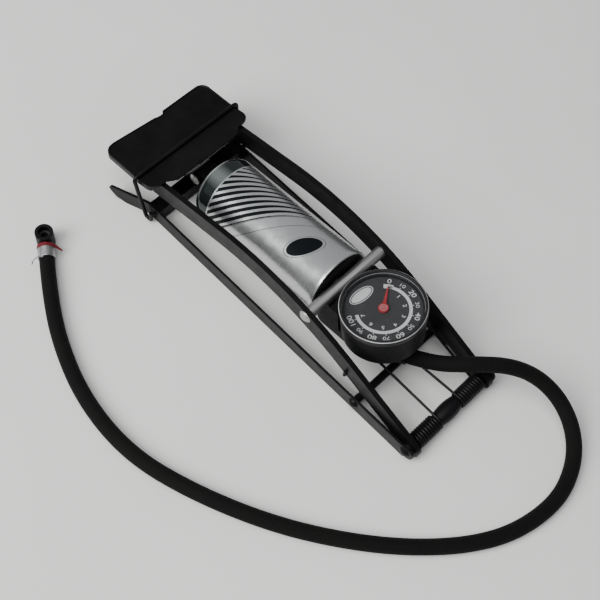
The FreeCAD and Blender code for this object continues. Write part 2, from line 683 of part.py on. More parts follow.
def head_block():
    """Black casting: a cross boss for the tube and the rod, a round seat for the gauge and the hose outlet."""
    front, back, low = size("head_front"), size("head_back"), size("head_low")
    wide = size("head_half_width")
    tube_up = size("axis_below_tube")
    body = new_body("head_boss_body")
    side = rounded_outline([(front, low), (front, tube_up - 1.0), (back - 4, tube_up - 1.0), (back - 4, low)],
                           [4.0, 1.5, 1.5, 3.0])
    profile = new_sketch(body, "boss_side", "XZ_Plane", side)
    pad(body, profile, "boss_pad", "2*sizes.head_half_width", midplane=True)
    body.Placement = HEAD
    depth = size("gauge_depth")
    seat = gauge_cylinder("gauge_seat", "sizes.seat_radius", -depth - 20.0, -depth)
    mouth = outlet_mouth()
    heading = outlet_heading()
    outlet = doc.addObject("Part::Cylinder", "outlet_boss")
    outlet.setExpression("Radius", "sizes.outlet_radius")
    outlet.setExpression("Height", "sizes.outlet_length")
    outlet.Placement = Place(mouth, Rot(Vec(0, 0, 1), -heading))
    ears = []
    for sign, tag in ((1, "l"), (-1, "r")):
        ear = doc.addObject("Part::Cylinder", f"tube_ear_{tag}")
        ear.Radius, ear.Height = 5.3, 6.0
        ear.Placement = HEAD.multiply(Place(Vec(0, sign * (wide - 3.0) - 3.0, tube_up), Rot(Vec(1, 0, 0), -90)))
        ears.append(ear)
    mass = joined("head_mass", [body, seat, outlet] + ears)
    saddle = rod_along_y("tube_saddle", "sizes.tube_radius + 0.06", size("tube_x"), size("tube_z"), -40, 40)
    opening = doc.addObject("Part::Box", "saddle_mouth")
    opening.Length, opening.Width, opening.Height = 40.0, 80.0, 20.0
    opening.Placement = HEAD.multiply(Place(Vec(-20.0, -40.0, tube_up + 1.6), Rot()))
    cup = gauge_cylinder("gauge_clear", "sizes.gauge_radius + 0.4", -depth, 20.0)
    stem_hole = gauge_cylinder("stem_hole", 3.0, -depth - 6.0, -depth + 1.0)
    chamber = gauge_cylinder("air_chamber", 8.0, -depth - 17.0, -depth - 5.5)
    socket = doc.addObject("Part::Cylinder", "rod_socket")
    socket.setExpression("Radius", "sizes.rod_radius")
    socket.Height = 10.0
    socket.Placement = HEAD.multiply(Place(Vec(front - 8.4, 0, 0), Rot(Vec(0, 1, 0), 90)))
    ways = [air_way("rod_way", HEAD.multVec(Vec(-1.9, 0, 0)), HEAD.multVec(Vec(-1.9, 0, -14.5))),
            air_way("floor_way", HEAD.multVec(Vec(-1.9, 0, -14.5)), HEAD.multVec(Vec(-28.0, 0, -14.5))),
            air_way("hose_way", mouth + heading, mouth - heading * (size("outlet_length") - 4.0))]
    spot = doc.addObject("Part::Cylinder", "collar_spot")
    spot.Radius, spot.Height = 7.8, 26.0
    spot.Placement = Place(mouth, Rot(Vec(0, 0, 1), heading))
    tools = joined("head_tools", [saddle, opening, cup, stem_hole, chamber, socket, spot] + ways)
    return keep(cut("head_cut", mass, tools), "head_block")


def gauge_cylinder(name, radius, low, high):
    """Cylinder on the gauge's axis, between two heights measured from its face."""
    solid = doc.addObject("Part::Cylinder", name)
    if isinstance(radius, str):
        solid.setExpression("Radius", radius)
    else:
        solid.Radius = radius
    solid.Height = high - low
    solid.Placement = GAUGE.multiply(Place(Vec(0, 0, low), Rot()))
    return solid


def air_way(name, start, end):
    """Narrow drilled passage between two points."""
    hole = doc.addObject("Part::Cylinder", name)
    hole.Radius = 1.5
    hole.Height = (end - start).Length
    hole.Placement = Place(start, Rot(Vec(0, 0, 1), end - start))
    return hole


def outlet_heading():
    return (HOSE_ROUTE[1] - HOSE_ROUTE[0]).normalize()


def outlet_mouth():
    """Middle of the face where the outlet boss ends and the collar begins."""
    return HOSE_ROUTE[0] - outlet_heading() * size("collar_length")


def piston_rod():
    """Hollow rod from the head into the barrel; its far end stops short of the piston."""
    start = size("head_front") - 5.0
    radius, bore = size("rod_radius"), size("rod_bore")
    end = size("rod_length")
    return turned_part("piston_rod", [(start, bore), (start, radius), (end - 1, radius), (end, radius - 1),
                                      (end, bore)])


def gauge_parts():
    """Housing, bezel, lens, dial, stem and the sealed movement of the pressure gauge."""
    radius, depth = size("gauge_radius"), size("gauge_depth")
    ledge, well = radius - 3.4, radius - 5.0
    outlines = {
        "gauge_housing": [(-depth, 3.05), (-depth, radius - 2.4), (-depth + 1.6, radius - 1.1),
                          (-4.6, radius - 0.6), (-4.6, ledge), (-5.6, ledge), (-5.6, well),
                          (-depth + 2.4, well), (-depth + 2.4, 3.05)],
        "gauge_bezel": [(-4.6, ledge), (-4.6, radius - 0.6), (-4.0, radius), (-1.0, radius),
                        (0.0, radius - 0.9), (0.0, radius - 2.2), (-2.4, radius - 2.2), (-2.4, ledge)],
        "gauge_lens": [(-2.4, 0), (-2.4, radius - 2.2), (-1.2, radius - 2.2), (-0.5, radius - 6.0), (-0.3, 0)],
        "gauge_dial": [(-5.6, 1.1), (-5.6, ledge), (-5.0, ledge), (-5.0, 1.1)],
        "gauge_stem": [(-depth - 5.0, 1.2), (-depth - 5.0, 3.0), (-13.5, 3.0), (-13.5, 1.2)],
        "gauge_movement": [(-13.5, 1.05), (-13.5, 17.0), (-12.7, 17.0), (-12.7, 8.0), (-7.0, 8.0), (-7.0, 1.05)],
    }
    for label, points in outlines.items():
        keep(gauge_turned(label, points), label)
    bourdon = Part.makeTorus(15.0, 1.7, Vec(0, 0, -11.05), Vec(0, 0, 1), -180, 180, 250)
    bourdon.Placement = GAUGE.multiply(bourdon.Placement)
    keep(plain("bourdon_shape", bourdon), "bourdon_tube")


def gauge_needle():
    """Tapered pointer with a round hub on a short arbor."""
    body = new_body("needle_body")
    blade = [Part.LineSegment(Vec(-1.0, -1.5, 0), Vec(17.0, -0.35, 0)),
             Part.LineSegment(Vec(17.0, -0.35, 0), Vec(17.0, 0.35, 0)),
             Part.LineSegment(Vec(17.0, 0.35, 0), Vec(-1.0, 1.5, 0)),
             Part.LineSegment(Vec(-1.0, 1.5, 0), Vec(-1.0, -1.5, 0))]
    flat = new_sketch(body, "needle_blade", "XY_Plane", blade, -4.2)
    pad(body, flat, "needle_pad", 0.6)
    hub = new_sketch(body, "needle_hub", "XY_Plane", [circle(0, 0, 3.4)], -4.6)
    pad(body, hub, "hub_pad", 1.7)
    arbor = new_sketch(body, "needle_arbor", "XY_Plane", [circle(0, 0, 1.0)], -12.0)
    pad(body, arbor, "arbor_pad", 7.6)
    body.Placement = GAUGE.multiply(Place(Vec(), Rot(Vec(0, 0, 1), size("zero_mark_deg"))))
    return keep(body, "gauge_needle")


# ---------------------------------------------------------------- hose and valve head

HOSE_ROUTE = [
    Vec(-97.2, -3.1, 23.9), Vec(-113.3, -9.7, 27.3), Vec(-130.1, -23.9, 33.0), Vec(-147.4, -41.9, 32.6),
    Vec(-164.4, -54.2, 24.1), Vec(-184.6, -57.1, 15.6), Vec(-204.3, -49.7, 8.9), Vec(-218.8, -33.4, 5.3),
    Vec(-226.5, -8.0, 5.3), Vec(-221.5, 25.0, 5.3), Vec(-207.0, 53.0, 5.3), Vec(-182.0, 82.0, 5.3),
    Vec(-150.0, 109.0, 5.3), Vec(-111.0, 134.0, 5.3), Vec(-63.0, 155.0, 5.3), Vec(-19.0, 166.5, 5.3),
    Vec(27.0, 163.5, 5.3), Vec(69.0, 149.0, 5.3), Vec(102.0, 130.0, 6.2), Vec(121.0, 116.6, 6.2),
]


def hose():
    """Braided hose, from the collar on the head, over the right rails and round on the floor."""
    radii = route_radii(HOSE_ROUTE)
    path = bent_path(HOSE_ROUTE, radii)
    shape = tube_on(path, size("hose_radius"))
    section = math.pi * size("hose_radius") ** 2
    print("hose radii:", " ".join(f"{r:.0f}" for r in radii))
    print(f"hose length {path.Length:.1f}, volume {shape.Volume:.0f}, section x length {section * path.Length:.0f}")
    return keep(plain("hose_shape", shape), "hose")


def stepped(label, start, heading, steps):
    """Stack of round steps (length, radius) along a heading, as one turned solid."""
    points = [(0.0, 0.0)]
    at = 0.0
    for long, radius in steps:
        points.append((at, radius))
        at += long
        points.append((at, radius))
    points.append((at, 0.0))
    place = Place(start, Rot(Vec(1, 0, 0), heading))
    return keep(turned(label, points, place), label)


def hose_collar():
    """Crimped collar between the head's outlet and the hose."""
    return stepped("hose_collar", outlet_mouth(), outlet_heading(), [(size("collar_length"), 6.3)])


def hose_end():
    """Crimped ferrule, coloured band and push-on valve head at the free end."""
    heading = HOSE_ROUTE[-1] - HOSE_ROUTE[-2]
    heading.z = 0
    heading.normalize()
    at = HOSE_ROUTE[-1]
    stepped("ferrule", at, heading, [(7.4, 5.9)])
    stepped("hose_band", at + heading * 7.4, heading, [(2.6, 6.1)])
    neck_start = at + heading * 10.0
    socket = at + heading * 16.4
    socket.z = 0.2
    body = doc.addObject("Part::Cylinder", "valve_body")
    body.Radius, body.Height = 6.3, 14.0
    body.Placement = Place(socket, Rot())
    neck = doc.addObject("Part::Cylinder", "valve_neck")
    neck.Radius, neck.Height = 5.2, 6.4
    neck.Placement = Place(neck_start, Rot(Vec(0, 0, 1), heading))
    solid = joined("valve_solid", [body, neck])
    mouth = upright_cylinder("valve_mouth", socket, 4.1, 9.2, 15.0)
    groove = upright_cylinder("valve_groove", socket, 4.9, 5.2, 9.2)
    keep(cut("valve_cut", solid, joined("valve_hollow", [mouth, groove])), "valve_head")
    ring = upright_cylinder("grommet_out", socket, 4.9, 5.2, 9.2)
    hole = upright_cylinder("grommet_in", socket, 2.6, 4.2, 10.2)
    keep(cut("grommet_cut", ring, hole), "valve_grommet")


def upright_cylinder(name, foot, radius, low, high):
    """Vertical cylinder over a foot point, between two heights above it."""
    solid = doc.addObject("Part::Cylinder", name)
    solid.Radius = radius
    solid.Height = high - low
    solid.Placement = Place(foot + Vec(0, 0, low), Rot())
    return solid


# ---------------------------------------------------------------- build and write

def build():
    for side, word in ((1, "left"), (-1, "right")):
        base_rail(f"base_rail_{word}", side)
        arm_rail(f"arm_rail_{word}", side)
        torsion_spring(f"spring_{word}", side)
    front_strap()
    barrel_bracket()
    rail_out, rail_in = size("rail_outer_y"), size("rail_outer_y") - size("rail_thick")
    head, rise = size("rivet_head"), size("rivet_rise")
    headed_pin("rear_axle", "sizes.axle_radius", size("axle_x"), size("axle_z"), rail_out, head, rise)
    headed_pin("rear_crossbar", "sizes.crossbar_radius", size("crossbar_x"), size("crossbar_z"), rail_out, 4.0, 2.4)
    headed_pin("pivot_pin", "sizes.pin_radius", size("pivot_x"), size("pivot_z"), 8.4, 4.2, 1.8)
    washer_set("axle_washers", size("axle_x"), size("axle_z"), "sizes.axle_radius", "sizes.washer_radius",
               size("arm_outer_y") + 0.1, rail_in)
    axle_sleeve()
    pedal()
    cross_tube()
    headed_pin("tube_rivet", "sizes.tube_rivet_radius", size("tube_x"), size("tube_z"), size("arm_outer_y"), 4.6, 2.1)
    bail()
    barrel()
    barrel_foot()
    barrel_internals()
    head_block()
    piston_rod()
    gauge_parts()
    gauge_needle()
    hose()
    hose_collar()
    hose_end()
    doc.recompute()


def write():
    """Check every object and write one file for each sub-part."""
    failed = [o.Label for o in doc.Objects if {"Invalid", "Error"} & set(o.State)]
    for part in PARTS:
        if part.Shape.isNull() or not part.Shape.isValid() or part.Shape.Volume <= 0:
            failed.append(part.Label)
    if failed:
        raise RuntimeError("failed: " + ", ".join(failed))
    os.makedirs("parts", exist_ok=True)
    for part in PARTS:
        part.Shape.exportStep(f"parts/{part.Label}.step")


build()
write()
print(len(PARTS), "sub-parts")
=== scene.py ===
"""Looks of the foot pump: enamelled steel, silver barrel, gauge, springs and woven hose."""

import json
import math

import bmesh
import bpy
from mathutils import Matrix, Vector


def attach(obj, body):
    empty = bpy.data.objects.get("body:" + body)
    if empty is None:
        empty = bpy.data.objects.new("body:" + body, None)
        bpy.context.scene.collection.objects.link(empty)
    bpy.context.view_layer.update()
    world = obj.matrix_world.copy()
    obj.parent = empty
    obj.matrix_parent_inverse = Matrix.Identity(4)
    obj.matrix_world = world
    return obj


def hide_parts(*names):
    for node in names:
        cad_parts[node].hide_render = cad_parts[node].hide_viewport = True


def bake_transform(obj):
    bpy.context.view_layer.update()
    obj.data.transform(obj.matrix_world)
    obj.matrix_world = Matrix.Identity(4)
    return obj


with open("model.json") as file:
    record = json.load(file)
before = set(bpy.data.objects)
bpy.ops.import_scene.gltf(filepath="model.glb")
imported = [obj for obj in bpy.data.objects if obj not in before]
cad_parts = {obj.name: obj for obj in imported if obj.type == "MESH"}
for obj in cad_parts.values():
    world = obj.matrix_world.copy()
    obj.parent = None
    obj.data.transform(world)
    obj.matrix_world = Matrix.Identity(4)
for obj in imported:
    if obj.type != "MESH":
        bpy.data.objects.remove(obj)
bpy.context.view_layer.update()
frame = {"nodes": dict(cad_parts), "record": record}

MM = 0.001
SLOTS = {s["node"]: s["material_slot"] for s in frame["record"]["subparts"]}
BODY = {n: b for b, ns in frame["record"]["behaviour"]["bodies"].items() for n in ns}
JOINT = {j["name"]: j for j in frame["record"]["behaviour"]["joints"]}


# ---------------------------------------------------------------- camera

def add_camera():
    """Camera above and behind the left rear corner, turned a little about its own axis."""
    data = bpy.data.cameras.new("camera")
    data.lens = 69.0
    data.sensor_width = 36.0
    camera = bpy.data.objects.new("camera", data)
    bpy.context.scene.collection.objects.link(camera)
    place = Vector((-0.22874, 0.29157, 0.69334))
    aim = Vector((-0.01432, 0.01029, 0.0))
    turn = (aim - place).to_track_quat("-Z", "Y").to_matrix().to_4x4()
    roll = Matrix.Rotation(math.radians(9.03), 4, "Z")
    camera.matrix_world = Matrix.Translation(place) @ turn @ roll
    bpy.context.scene.camera = camera


add_camera()


# ---------------------------------------------------------------- frames of the tilted pieces

def axis_frame(origin, z_axis):
    """Frame with Z along z_axis and X forward, towards the pedal."""
    z = Vector(z_axis).normalized()
    y = Vector((0, 1, 0))
    x = y.cross(z).normalized()
    m = Matrix((x, y, z)).transposed().to_4x4()
    m.translation = Vector(origin)
    return m


GAUGE = axis_frame(JOINT["needle_turn"]["pos_m"], [-c for c in JOINT["needle_turn"]["axis"]])
SLIDE = Vector(JOINT["piston_slide"]["axis"])
BARREL = axis_frame(JOINT["barrel_tilt"]["pos_m"], (-SLIDE).cross(Vector((0, 1, 0))))


# ---------------------------------------------------------------- materials

def new_material(name):
    """Material with its node tree and its main shader."""
    material = bpy.data.materials.new(name)
    material.use_nodes = True
    tree = material.node_tree
    return material, tree, tree.nodes["Principled BSDF"]


def link(tree, a, b):
    tree.links.new(a, b)


def position(tree, stretch=(1.0, 1.0, 1.0)):
    """Coordinates in the frame, in metres, stretched along each axis."""
    source = tree.nodes.new("ShaderNodeTexCoord")
    mapping = tree.nodes.new("ShaderNodeMapping")
    mapping.inputs["Scale"].default_value = stretch
    link(tree, source.outputs["Object"], mapping.inputs["Vector"])
    return mapping.outputs["Vector"]


def noise(tree, vector, scale, detail=3.0, rough=0.5):
    node = tree.nodes.new("ShaderNodeTexNoise")
    node.inputs["Scale"].default_value = scale
    node.inputs["Detail"].default_value = detail
    node.inputs["Roughness"].default_value = rough
    link(tree, vector, node.inputs["Vector"])
    return node.outputs["Fac"]


def ramp(tree, value, low, high, at=(0.0, 1.0)):
    """Map a 0..1 value to two numbers or colours."""
    node = tree.nodes.new("ShaderNodeValToRGB")
    for element, colour, spot in zip(node.color_ramp.elements, (low, high), at):
        if not hasattr(colour, "__len__"):
            colour = (colour, colour, colour)
        element.color = (*colour[:3], 1.0)
        element.position = spot
    link(tree, value, node.inputs["Fac"])
    return node.outputs["Color"]


def calc(tree, operation, a, b=None, c=None):
    """One sum in the shader, on numbers or on other nodes' results."""
    node = tree.nodes.new("ShaderNodeMath")
    node.operation = operation
    for socket, value in zip(node.inputs, (a, b, c)):
        if value is None:
            continue
        if isinstance(value, (int, float)):
            socket.default_value = value
        else:
            link(tree, value, socket)
    return node.outputs[0]


def mixed(tree, factor, a, b):
    """Colour between two colours, by a factor."""
    node = tree.nodes.new("ShaderNodeMix")
    node.data_type = "RGBA"
    for socket, value in ((node.inputs[0], factor), (node.inputs[6], a), (node.inputs[7], b)):
        if hasattr(value, "links"):
            link(tree, value, socket)
        elif hasattr(value, "__len__"):
            socket.default_value = (*value[:3], 1.0)
        else:
            socket.default_value = value
    return node.outputs[2]


def bump(tree, shader, height, strength, distance):
    node = tree.nodes.new("ShaderNodeBump")
    node.inputs["Strength"].default_value = strength
    node.inputs["Distance"].default_value = distance
    link(tree, height, node.inputs["Height"])
    link(tree, node.outputs["Normal"], shader.inputs["Normal"])


def along(tree, where, direction, origin=(0, 0, 0)):
    """Distance of a point from an origin along a direction, in metres."""
    node = tree.nodes.new("ShaderNodeVectorMath")
    node.operation = "DOT_PRODUCT"
    link(tree, where, node.inputs[0])
    node.inputs[1].default_value = tuple(direction)
    return calc(tree, "SUBTRACT", node.outputs["Value"], Vector(direction).dot(Vector(origin)))


def between(tree, value, low, high, soft):
    """1 inside a range and 0 outside, with soft edges."""
    rise = calc(tree, "MAXIMUM", 0.0, calc(tree, "DIVIDE", calc(tree, "SUBTRACT", value, low), soft))
    fall = calc(tree, "MAXIMUM", 0.0, calc(tree, "DIVIDE", calc(tree, "SUBTRACT", high, value), soft))
    return calc(tree, "MINIMUM", calc(tree, "MINIMUM", rise, fall), 1.0)


def enamel(name, colour, light, rough=(0.3, 0.5), grain=0.25):
    """Sprayed enamel on steel: slight orange peel, patches of wear and dust."""
    material, tree, shader = new_material(name)
    where = position(tree)
    patches = noise(tree, where, 45.0, 5.0, 0.6)
    link(tree, ramp(tree, patches, colour, light, (0.35, 0.8)), shader.inputs["Base Color"])
    link(tree, ramp(tree, noise(tree, where, 160.0, 4.0, 0.6), rough[0], rough[1], (0.3, 0.75)),
         shader.inputs["Roughness"])
    shader.inputs["Specular IOR Level"].default_value = 0.12
    bump(tree, shader, noise(tree, where, 900.0, 2.0, 0.5), grain, 0.0002)
    return material


def metal(name, colour, rough=(0.2, 0.4), stretch=(30.0, 900.0, 900.0), grain=0.15):
    """Bare or plated metal with fine drawn lines along one axis."""
    material, tree, shader = new_material(name)
    shader.inputs["Metallic"].default_value = 1.0
    lines = noise(tree, position(tree, stretch), 1.0, 3.0, 0.6)
    dull = [c * 0.8 for c in colour]
    link(tree, ramp(tree, lines, dull, colour, (0.3, 0.7)), shader.inputs["Base Color"])
    link(tree, ramp(tree, lines, rough[0], rough[1], (0.3, 0.7)), shader.inputs["Roughness"])
    bump(tree, shader, lines, grain, 0.0001)
    return material


def moulded(name, colour, rough=(0.4, 0.6), grain=0.2, scale=1500.0):
    """Moulded plastic or rubber with a fine grain."""
    material, tree, shader = new_material(name)
    where = position(tree)
    light = [min(1.0, c * 1.5 + 0.002) for c in colour]
    link(tree, ramp(tree, noise(tree, where, 60.0, 4.0, 0.6), colour, light, (0.35, 0.8)),
         shader.inputs["Base Color"])
    link(tree, ramp(tree, noise(tree, where, 300.0, 3.0, 0.5), rough[0], rough[1], (0.3, 0.7)),
         shader.inputs["Roughness"])
    shader.inputs["Specular IOR Level"].default_value = 0.13
    bump(tree, shader, noise(tree, where, scale, 2.0, 0.5), grain, 0.0001)
    return material


def clear(name):
    """Clear moulded lens: mostly see-through, with a faint even gloss and hazy wear."""
    material, tree, shader = new_material(name)
    tree.nodes.remove(shader)
    out = tree.nodes["Material Output"]
    see = tree.nodes.new("ShaderNodeBsdfTransparent")
    see.inputs["Color"].default_value = (0.97, 0.98, 0.98, 1.0)
    gloss = tree.nodes.new("ShaderNodeBsdfGlossy")
    gloss.inputs["Roughness"].default_value = 0.2
    mix = tree.nodes.new("ShaderNodeMixShader")
    haze = noise(tree, position(tree), 130.0, 5.0, 0.7)
    link(tree, calc(tree, "MULTIPLY_ADD", haze, 0.03, 0.004), mix.inputs[0])
    link(tree, see.outputs[0], mix.inputs[1])
    link(tree, gloss.outputs[0], mix.inputs[2])
    link(tree, mix.outputs[0], out.inputs["Surface"])
    return material


def woven(name):
    """Woven black cover: two sets of strands that cross. u runs round the hose, and v along it in metres."""
    material, tree, shader = new_material(name)
    uv = tree.nodes.new("ShaderNodeUVMap")
    uv.uv_map = "UVMap"
    split = tree.nodes.new("ShaderNodeSeparateXYZ")
    link(tree, uv.outputs["UV"], split.inputs[0])
    strands, lay_length = 20.0, 30.0 * MM
    turn = calc(tree, "MULTIPLY", split.outputs["X"], 2 * math.pi * strands)
    run = calc(tree, "MULTIPLY", split.outputs["Y"], math.pi * strands / lay_length)
    left = calc(tree, "SINE", calc(tree, "ADD", turn, run))
    right = calc(tree, "SINE", calc(tree, "SUBTRACT", turn, run))
    over = calc(tree, "MULTIPLY", left, right)
    height = calc(tree, "MULTIPLY_ADD", over, 0.5, 0.5)
    fuzz = noise(tree, position(tree), 1500.0, 3.0, 0.6)
    tall = calc(tree, "MULTIPLY_ADD", fuzz, 0.5, height)
    # Painted shade: the gaps between the strands are coloured darker than the strand tops.
    painted_gap_shade, raised = (0.0010, 0.0010, 0.0010), (0.0055, 0.0055, 0.0052)
    shade = mixed(tree, calc(tree, "MULTIPLY", height, 0.8), painted_gap_shade, raised)
    patches = noise(tree, position(tree), 38.0, 5.0, 0.65)
    wear_and_highlight = ramp(tree, patches, (1, 1, 1), (1.7, 1.6, 1.4), (0.45, 0.8))
    final = tree.nodes.new("ShaderNodeMix")
    final.data_type = "RGBA"
    final.blend_type = "MULTIPLY"
    final.inputs[0].default_value = 1.0
    link(tree, shade, final.inputs[6])
    link(tree, wear_and_highlight, final.inputs[7])
    link(tree, final.outputs[2], shader.inputs["Base Color"])
    shader.inputs["Roughness"].default_value = 0.7
    shader.inputs["Specular IOR Level"].default_value = 0.10
    bump(tree, shader, tall, 0.55, 0.0006)
    return material


BARREL_BACK = 135.2 * MM      # from the barrel's pivot back to its rear end
BARREL_RADIUS = 25.0 * MM
BAND_SLANT, BAND_PITCH = 0.94, 5.75 * MM
BAND_HALVES = (0.06, 0.27, 0.31)          # half a band: thinnest, on the top line and widest, in pitches
BAND_TAPER = 6.5              # how fast it grows towards the left, in pitches per metre
BANDS_BACK, BANDS_FRONT, BANDS_START = 30.0 * MM, 105.0 * MM, 57.3 * MM
THIN_LINES, LINE_HALF = (57.0 * MM, 47.0 * MM), 0.3 * MM
RING_START = 105.6 * MM
OVAL_LEFT, OVAL_FORWARD, OVAL_TURN = 6.1 * MM, 31.3 * MM, math.radians(36.0)
OVAL_LONG, OVAL_SHORT = 14.8 * MM, 7.0 * MM
OVAL_FILL, OVAL_LINE = 0.84, (0.93, 0.98)


def length_of(tree, a, b):
    """Length of a vector with two parts."""
    return calc(tree, "SQRT", calc(tree, "ADD", calc(tree, "MULTIPLY", a, a), calc(tree, "MULTIPLY", b, b)))


def barrel_bands(tree, slanted, forward, left):
    """Slanted bands that taper towards the right, and two thin lines behind them."""
    turns = calc(tree, "DIVIDE", calc(tree, "SUBTRACT", slanted, THIN_LINES[0]), BAND_PITCH)
    off = calc(tree, "SUBTRACT", calc(tree, "FRACT", calc(tree, "ADD", turns, 0.5)), 0.5)
    thinnest, middle, widest = BAND_HALVES
    half = calc(tree, "MULTIPLY_ADD", left, BAND_TAPER, middle)
    half = calc(tree, "MINIMUM", calc(tree, "MAXIMUM", half, thinnest), widest)
    bands = between(tree, calc(tree, "ABSOLUTE", off), -1.0, half, 0.03)
    bands = calc(tree, "MULTIPLY", bands, between(tree, forward, BANDS_BACK, BANDS_FRONT, 0.3 * MM))
    bands = calc(tree, "MULTIPLY", bands, between(tree, slanted, BANDS_START, 1.0, 0.3 * MM))
    for at in THIN_LINES:
        line = between(tree, slanted, at - LINE_HALF, at + LINE_HALF, 0.12 * MM)
        bands = calc(tree, "MAXIMUM", bands, line)
    return bands


def barrel_oval(tree, forward, left):
    """Blank oval with a fine line round it."""
    left = calc(tree, "SUBTRACT", left, OVAL_LEFT)
    forward = calc(tree, "SUBTRACT", forward, OVAL_FORWARD)
    cos, sin = math.cos(OVAL_TURN), math.sin(OVAL_TURN)
    major = calc(tree, "ADD", calc(tree, "MULTIPLY", left, cos / OVAL_LONG),
                 calc(tree, "MULTIPLY", forward, sin / OVAL_LONG))
    minor = calc(tree, "SUBTRACT", calc(tree, "MULTIPLY", forward, cos / OVAL_SHORT),
                 calc(tree, "MULTIPLY", left, sin / OVAL_SHORT))
    reach = length_of(tree, major, minor)
    return calc(tree, "MAXIMUM", between(tree, reach, -1.0, OVAL_FILL, 0.02),
                between(tree, reach, *OVAL_LINE, 0.015))


def silver_barrel(name):
    """Silver paint with printed bands and a blank oval on top, and a darker front ring with a painted
    highlight streak.
    """
    material, tree, shader = new_material(name)
    where = position(tree)
    axes, pivot = BARREL.to_3x3().transposed(), BARREL.translation
    forward = calc(tree, "ADD", along(tree, where, axes[0], pivot), BARREL_BACK)
    side = along(tree, where, (0, 1, 0))
    up = along(tree, where, axes[2], pivot)
    left = calc(tree, "MULTIPLY", calc(tree, "ARCTAN2", side, up), BARREL_RADIUS)
    slanted = calc(tree, "SUBTRACT", forward, calc(tree, "MULTIPLY", left, BAND_SLANT))
    bands = barrel_bands(tree, slanted, forward, left)
    marks = calc(tree, "MAXIMUM", bands, barrel_oval(tree, forward, left))
    print_mask = calc(tree, "MULTIPLY", marks, between(tree, up, 0.0, 1.0, 0.5 * MM))
    ring = between(tree, forward, RING_START, 1.0, 0.2 * MM)
    flakes = noise(tree, where, 1600.0, 2.0, 0.5)
    paint = ramp(tree, flakes, (0.56, 0.57, 0.57), (0.64, 0.65, 0.65), (0.3, 0.7))
    # Painted highlight: a bright streak along the front ring, with painted shade dark to either side of it.
    painted_highlight_streak = between(tree, left, -3.0 * MM, 15.0 * MM, 7.0 * MM)
    paint = mixed(tree, ring, paint, mixed(tree, painted_highlight_streak, (0.05, 0.06, 0.06), (0.34, 0.38, 0.37)))
    link(tree, mixed(tree, print_mask, paint, (0.004, 0.005, 0.006)), shader.inputs["Base Color"])
    link(tree, calc(tree, "MULTIPLY_ADD", print_mask, -0.4, 0.5), shader.inputs["Specular IOR Level"])
    link(tree, calc(tree, "MULTIPLY_ADD", print_mask, -0.85, 0.85), shader.inputs["Metallic"])
    rough = ramp(tree, noise(tree, where, 90.0, 4.0, 0.6), 0.21, 0.30, (0.3, 0.7))
    rough = calc(tree, "SUBTRACT", rough, calc(tree, "MULTIPLY", ring, 0.15))
    link(tree, rough, shader.inputs["Roughness"])
    bump(tree, shader, noise(tree, where, 500.0, 2.0, 0.5), 0.02, 0.0001)
    return material


BEZEL_EDGE, BEZEL_EDGE_DEPTH = 27.55 * MM, 0.75 * MM
BEZEL_LINE = (25.75 * MM, 26.0 * MM)


def ringed_bezel(name):
    """Black moulded bezel with a painted highlight on its outer edge and on a fine line inside it."""
    material, tree, shader = new_material(name)
    where = position(tree)
    axes = GAUGE.to_3x3().transposed()
    a, b, high = (along(tree, where, axis, GAUGE.translation) for axis in axes)
    out = length_of(tree, a, b)
    # Painted highlight: the outer edge and a fine line inside it are coloured light grey, patchy by noise.
    edge = calc(tree, "MULTIPLY", between(tree, out, BEZEL_EDGE, 1.0, 0.12 * MM),
                between(tree, high, -BEZEL_EDGE_DEPTH, 1.0, 0.15 * MM))
    fine_highlight_line = calc(tree, "MULTIPLY", between(tree, out, *BEZEL_LINE, 0.08 * MM), 0.6)
    light = calc(tree, "MAXIMUM", edge, fine_highlight_line)
    wear_and_highlight = ramp(tree, noise(tree, where, 120.0, 4.0, 0.6), 0.30, 0.55, (0.35, 0.7))
    link(tree, mixed(tree, light, (0.010, 0.010, 0.011), wear_and_highlight), shader.inputs["Base Color"])
    rough = ramp(tree, noise(tree, where, 300.0, 3.0, 0.5), 0.32, 0.48, (0.3, 0.7))
    link(tree, rough, shader.inputs["Roughness"])
    shader.inputs["Specular IOR Level"].default_value = 0.3
    bump(tree, shader, noise(tree, where, 1500.0, 2.0, 0.5), 0.15, 0.0001)
    return material


MATERIALS = {
    "black_steel": enamel("black_steel", (0.0025, 0.0025, 0.0028), (0.006, 0.006, 0.006), (0.30, 0.44)),
    "bare_steel": metal("bare_steel", (0.50, 0.50, 0.49), (0.36, 0.52), (900.0, 30.0, 900.0)),
    "spring_steel": enamel("spring_steel", (0.004, 0.004, 0.004), (0.009, 0.009, 0.009), (0.25, 0.45), 0.1),
    "silver_paint": silver_barrel("silver_paint"),
    "black_plastic": moulded("black_plastic", (0.0025, 0.0025, 0.003), (0.42, 0.56)),
    "bezel_plastic": ringed_bezel("bezel_plastic"),
    "lens": clear("lens"),
    "dial_face": moulded("dial_face", (0.0245, 0.0245, 0.0250), (0.55, 0.65)),
    "dial_print": moulded("dial_print", (0.34, 0.34, 0.34), (0.55, 0.65)),
    "red_plastic": moulded("red_plastic", (0.10, 0.010, 0.015), (0.45, 0.6)),
    "needle_red": moulded("needle_red", (0.20, 0.020, 0.022), (0.4, 0.55)),
    "brass": metal("brass", (0.75, 0.58, 0.3)),
    "hose_rubber": woven("hose_rubber"),
    "seal_rubber": moulded("seal_rubber", (0.02, 0.02, 0.02), (0.6, 0.8)),
    "crimp_steel": metal("crimp_steel", (0.50, 0.50, 0.51), (0.34, 0.46), (260.0, 260.0, 260.0), 0.05),
}


# ---------------------------------------------------------------- pieces

def add_object(name, mesh):
    obj = bpy.data.objects.new(name, mesh)
    bpy.context.scene.collection.objects.link(obj)
    return obj


def finished(name, shape):
    """Mesh made from an edited shape."""
    mesh = bpy.data.meshes.new(name)
    shape.to_mesh(mesh)
    shape.free()
    return mesh


